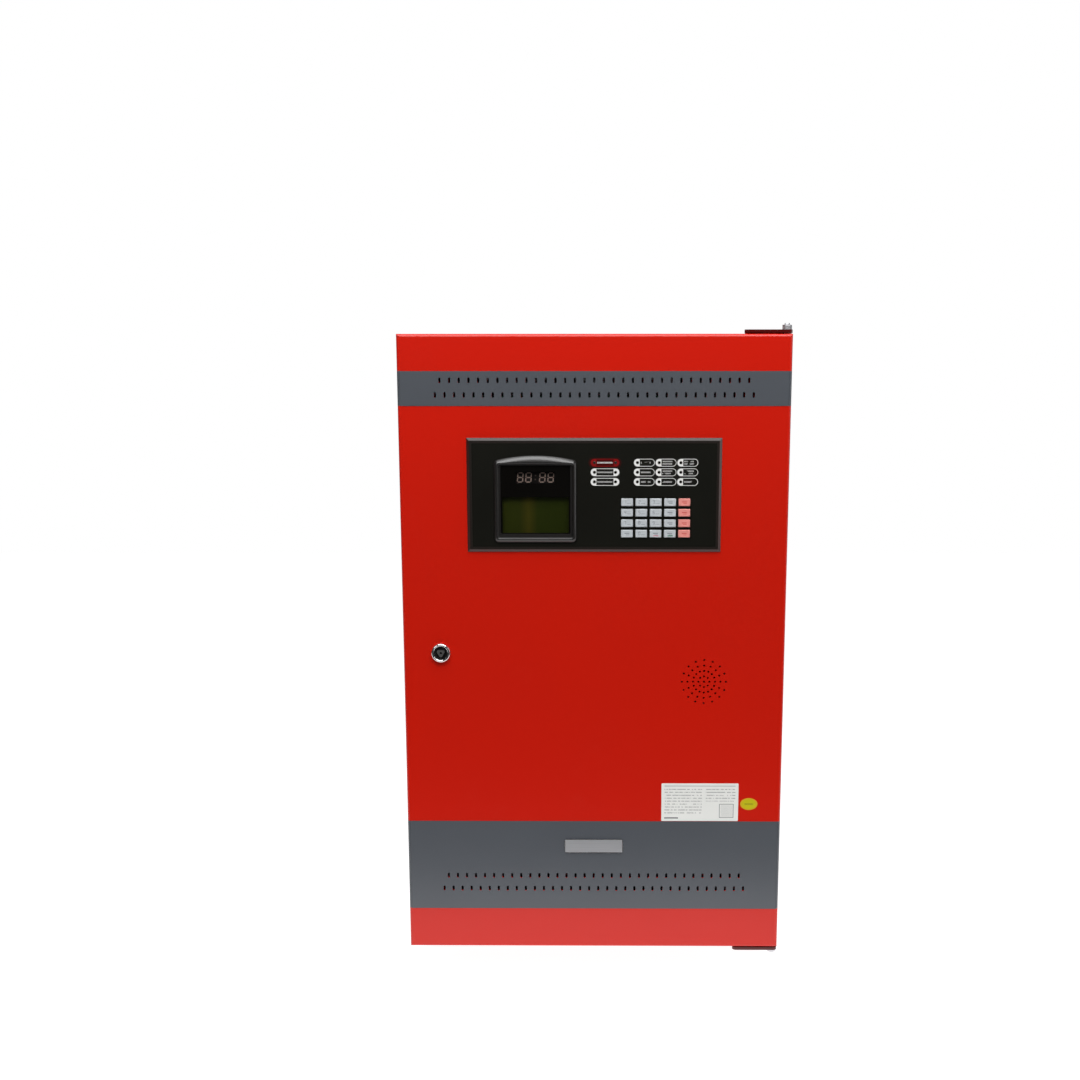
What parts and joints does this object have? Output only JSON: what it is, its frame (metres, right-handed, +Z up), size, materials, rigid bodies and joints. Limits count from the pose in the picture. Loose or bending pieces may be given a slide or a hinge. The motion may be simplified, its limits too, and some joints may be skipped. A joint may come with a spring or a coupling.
{
  "type": "fire alarm control panel",
  "caption": "Wall-mounted steel fire alarm control panel: lockable hinged door with display and keypad fascia, sounder and vents, over a chassis of boards, power supply and batteries.",
  "frame": {"origin": "centre of the back face, which is the middle of the wall-fixing holes", "axes": "+Z up, +X to the right when facing the door, the door faces -Y and the wall is at +Y"},
  "size_m": [0.38, 0.1406, 0.6389],
  "materials": {
    "red_paint": "semi-gloss powder coat",
    "red_paint_plates": "painted steel, darker",
    "hinge_steel": "bright zinc plate",
    "zinc_plate": "zinc-plated sheet",
    "brass_pillars": "turned",
    "screw_steel": "zinc plated",
    "board_green": "solder resist",
    "board_parts_mix": "moulded",
    "terminal_green": "moulded",
    "psu_case": "zinc-plated sheet",
    "rocker_red": "moulded",
    "battery_case": "moulded ABS",
    "grommet_rubber": "moulded",
    "grey_band": "satin printed film",
    "gasket_foam": "closed-cell foam",
    "fascia_black": "moulded, satin",
    "overlay_black": "printed film",
    "bezel_black": "moulded, glossy",
    "window_clear": "clear acrylic",
    "lcd_green": "unlit liquid-crystal glass",
    "clock_black": "moulded",
    "led_lens": "moulded",
    "membrane_grey": "silicone",
    "speaker_frame": "black",
    "speaker_cone": "treated paper",
    "lock_chrome": "plated",
    "lock_core": "plated",
    "label_white": "printed film",
    "sticker_yellow": "printed film",
    "badge_silver": "satin",
    "key_grey": "moulded",
    "key_red": "moulded"
  },
  "bodies": {
    "cabinet": {"cabinet_box": "red_paint", "hinge_plates": "red_paint_plates", "hinge_pins": "hinge_steel", "chassis_plate": "zinc_plate", "board_pillars": "brass_pillars", "inside_screws": "screw_steel", "main_board": "board_green", "loop_board": "board_green", "board_parts": "board_parts_mix", "terminal_blocks": "terminal_green", "power_supply": "psu_case", "battery_left": "battery_case", "battery_right": "battery_case", "battery_strap": "zinc_plate", "gland_plate": "zinc_plate", "cable_grommets": "grommet_rubber"},
    "door": {"door_panel": "red_paint", "upper_band": "grey_band", "lower_band": "grey_band", "door_gasket": "gasket_foam", "fascia_frame": "fascia_black", "fascia_overlay": "overlay_black", "display_bezel": "bezel_black", "display_window": "window_clear", "lcd_module": "lcd_green", "clock_display": "clock_black", "indicator_leds": "led_lens", "door_board": "board_green", "door_fixings": "screw_steel", "keypad_membrane": "membrane_grey", "speaker": "speaker_frame", "speaker_cone": "speaker_cone", "lock_body": "lock_chrome", "lock_nut": "screw_steel", "rating_label": "label_white", "inspection_sticker": "sticker_yellow", "badge": "badge_silver"},
    "lock": {"lock_cylinder": "lock_core", "lock_cam": "zinc_plate"},
    "rocker": {"mains_rocker": "rocker_red"},
    "key_r1c1": {"key_r1c1": "key_grey"},
    "key_r1c2": {"key_r1c2": "key_grey"},
    "key_r1c3": {"key_r1c3": "key_grey"},
    "key_r1c4": {"key_r1c4": "key_grey"},
    "key_r1c5": {"key_r1c5": "key_red"},
    "key_r2c1": {"key_r2c1": "key_grey"},
    "key_r2c2": {"key_r2c2": "key_grey"},
    "key_r2c3": {"key_r2c3": "key_grey"},
    "key_r2c4": {"key_r2c4": "key_grey"},
    "key_r2c5": {"key_r2c5": "key_red"},
    "key_r3c1": {"key_r3c1": "key_grey"},
    "key_r3c2": {"key_r3c2": "key_grey"},
    "key_r3c3": {"key_r3c3": "key_grey"},
    "key_r3c4": {"key_r3c4": "key_grey"},
    "key_r3c5": {"key_r3c5": "key_red"},
    "key_r4c1": {"key_r4c1": "key_grey"},
    "key_r4c2": {"key_r4c2": "key_grey"},
    "key_r4c3": {"key_r4c3": "key_grey"},
    "key_r4c4": {"key_r4c4": "key_grey"},
    "key_r4c5": {"key_r4c5": "key_red"}
  },
  "joints": [
    {"name": "door_hinge", "type": "hinge", "parent": "cabinet", "child": "door", "pos_m": [0.1853, -0.124, 0], "axis": [0, 0, 1], "range_deg": [0, 120]},
    {"name": "lock_turn", "type": "hinge", "parent": "door", "child": "lock", "pos_m": [-0.1524, -0.12, 0], "axis": [0, -1, 0], "range_deg": [0, 90]},
    {"name": "mains_switch", "type": "hinge", "parent": "cabinet", "child": "rocker", "pos_m": [-0.124, -0.0535, 0.001], "axis": [-1, 0, 0], "range_deg": [0, 20]},
    {"name": "key_r1c1_press", "type": "slide", "parent": "door", "child": "key_r1c1", "axis": [0, 1, 0], "range_m": [0, 0.001], "stiffness_N_per_m": 800},
    {"name": "key_r1c2_press", "type": "slide", "parent": "door", "child": "key_r1c2", "axis": [0, 1, 0], "range_m": [0, 0.001], "stiffness_N_per_m": 800},
    {"name": "key_r1c3_press", "type": "slide", "parent": "door", "child": "key_r1c3", "axis": [0, 1, 0], "range_m": [0, 0.001], "stiffness_N_per_m": 800},
    {"name": "key_r1c4_press", "type": "slide", "parent": "door", "child": "key_r1c4", "axis": [0, 1, 0], "range_m": [0, 0.001], "stiffness_N_per_m": 800},
    {"name": "key_r1c5_press", "type": "slide", "parent": "door", "child": "key_r1c5", "axis": [0, 1, 0], "range_m": [0, 0.001], "stiffness_N_per_m": 800},
    {"name": "key_r2c1_press", "type": "slide", "parent": "door", "child": "key_r2c1", "axis": [0, 1, 0], "range_m": [0, 0.001], "stiffness_N_per_m": 800},
    {"name": "key_r2c2_press", "type": "slide", "parent": "door", "child": "key_r2c2", "axis": [0, 1, 0], "range_m": [0, 0.001], "stiffness_N_per_m": 800},
    {"name": "key_r2c3_press", "type": "slide", "parent": "door", "child": "key_r2c3", "axis": [0, 1, 0], "range_m": [0, 0.001], "stiffness_N_per_m": 800},
    {"name": "key_r2c4_press", "type": "slide", "parent": "door", "child": "key_r2c4", "axis": [0, 1, 0], "range_m": [0, 0.001], "stiffness_N_per_m": 800},
    {"name": "key_r2c5_press", "type": "slide", "parent": "door", "child": "key_r2c5", "axis": [0, 1, 0], "range_m": [0, 0.001], "stiffness_N_per_m": 800},
    {"name": "key_r3c1_press", "type": "slide", "parent": "door", "child": "key_r3c1", "axis": [0, 1, 0], "range_m": [0, 0.001], "stiffness_N_per_m": 800},
    {"name": "key_r3c2_press", "type": "slide", "parent": "door", "child": "key_r3c2", "axis": [0, 1, 0], "range_m": [0, 0.001], "stiffness_N_per_m": 800},
    {"name": "key_r3c3_press", "type": "slide", "parent": "door", "child": "key_r3c3", "axis": [0, 1, 0], "range_m": [0, 0.001], "stiffness_N_per_m": 800},
    {"name": "key_r3c4_press", "type": "slide", "parent": "door", "child": "key_r3c4", "axis": [0, 1, 0], "range_m": [0, 0.001], "stiffness_N_per_m": 800},
    {"name": "key_r3c5_press", "type": "slide", "parent": "door", "child": "key_r3c5", "axis": [0, 1, 0], "range_m": [0, 0.001], "stiffness_N_per_m": 800},
    {"name": "key_r4c1_press", "type": "slide", "parent": "door", "child": "key_r4c1", "axis": [0, 1, 0], "range_m": [0, 0.001], "stiffness_N_per_m": 800},
    {"name": "key_r4c2_press", "type": "slide", "parent": "door", "child": "key_r4c2", "axis": [0, 1, 0], "range_m": [0, 0.001], "stiffness_N_per_m": 800},
    {"name": "key_r4c3_press", "type": "slide", "parent": "door", "child": "key_r4c3", "axis": [0, 1, 0], "range_m": [0, 0.001], "stiffness_N_per_m": 800},
    {"name": "key_r4c4_press", "type": "slide", "parent": "door", "child": "key_r4c4", "axis": [0, 1, 0], "range_m": [0, 0.001], "stiffness_N_per_m": 800},
    {"name": "key_r4c5_press", "type": "slide", "parent": "door", "child": "key_r4c5", "axis": [0, 1, 0], "range_m": [0, 0.001], "stiffness_N_per_m": 800}
  ]
}
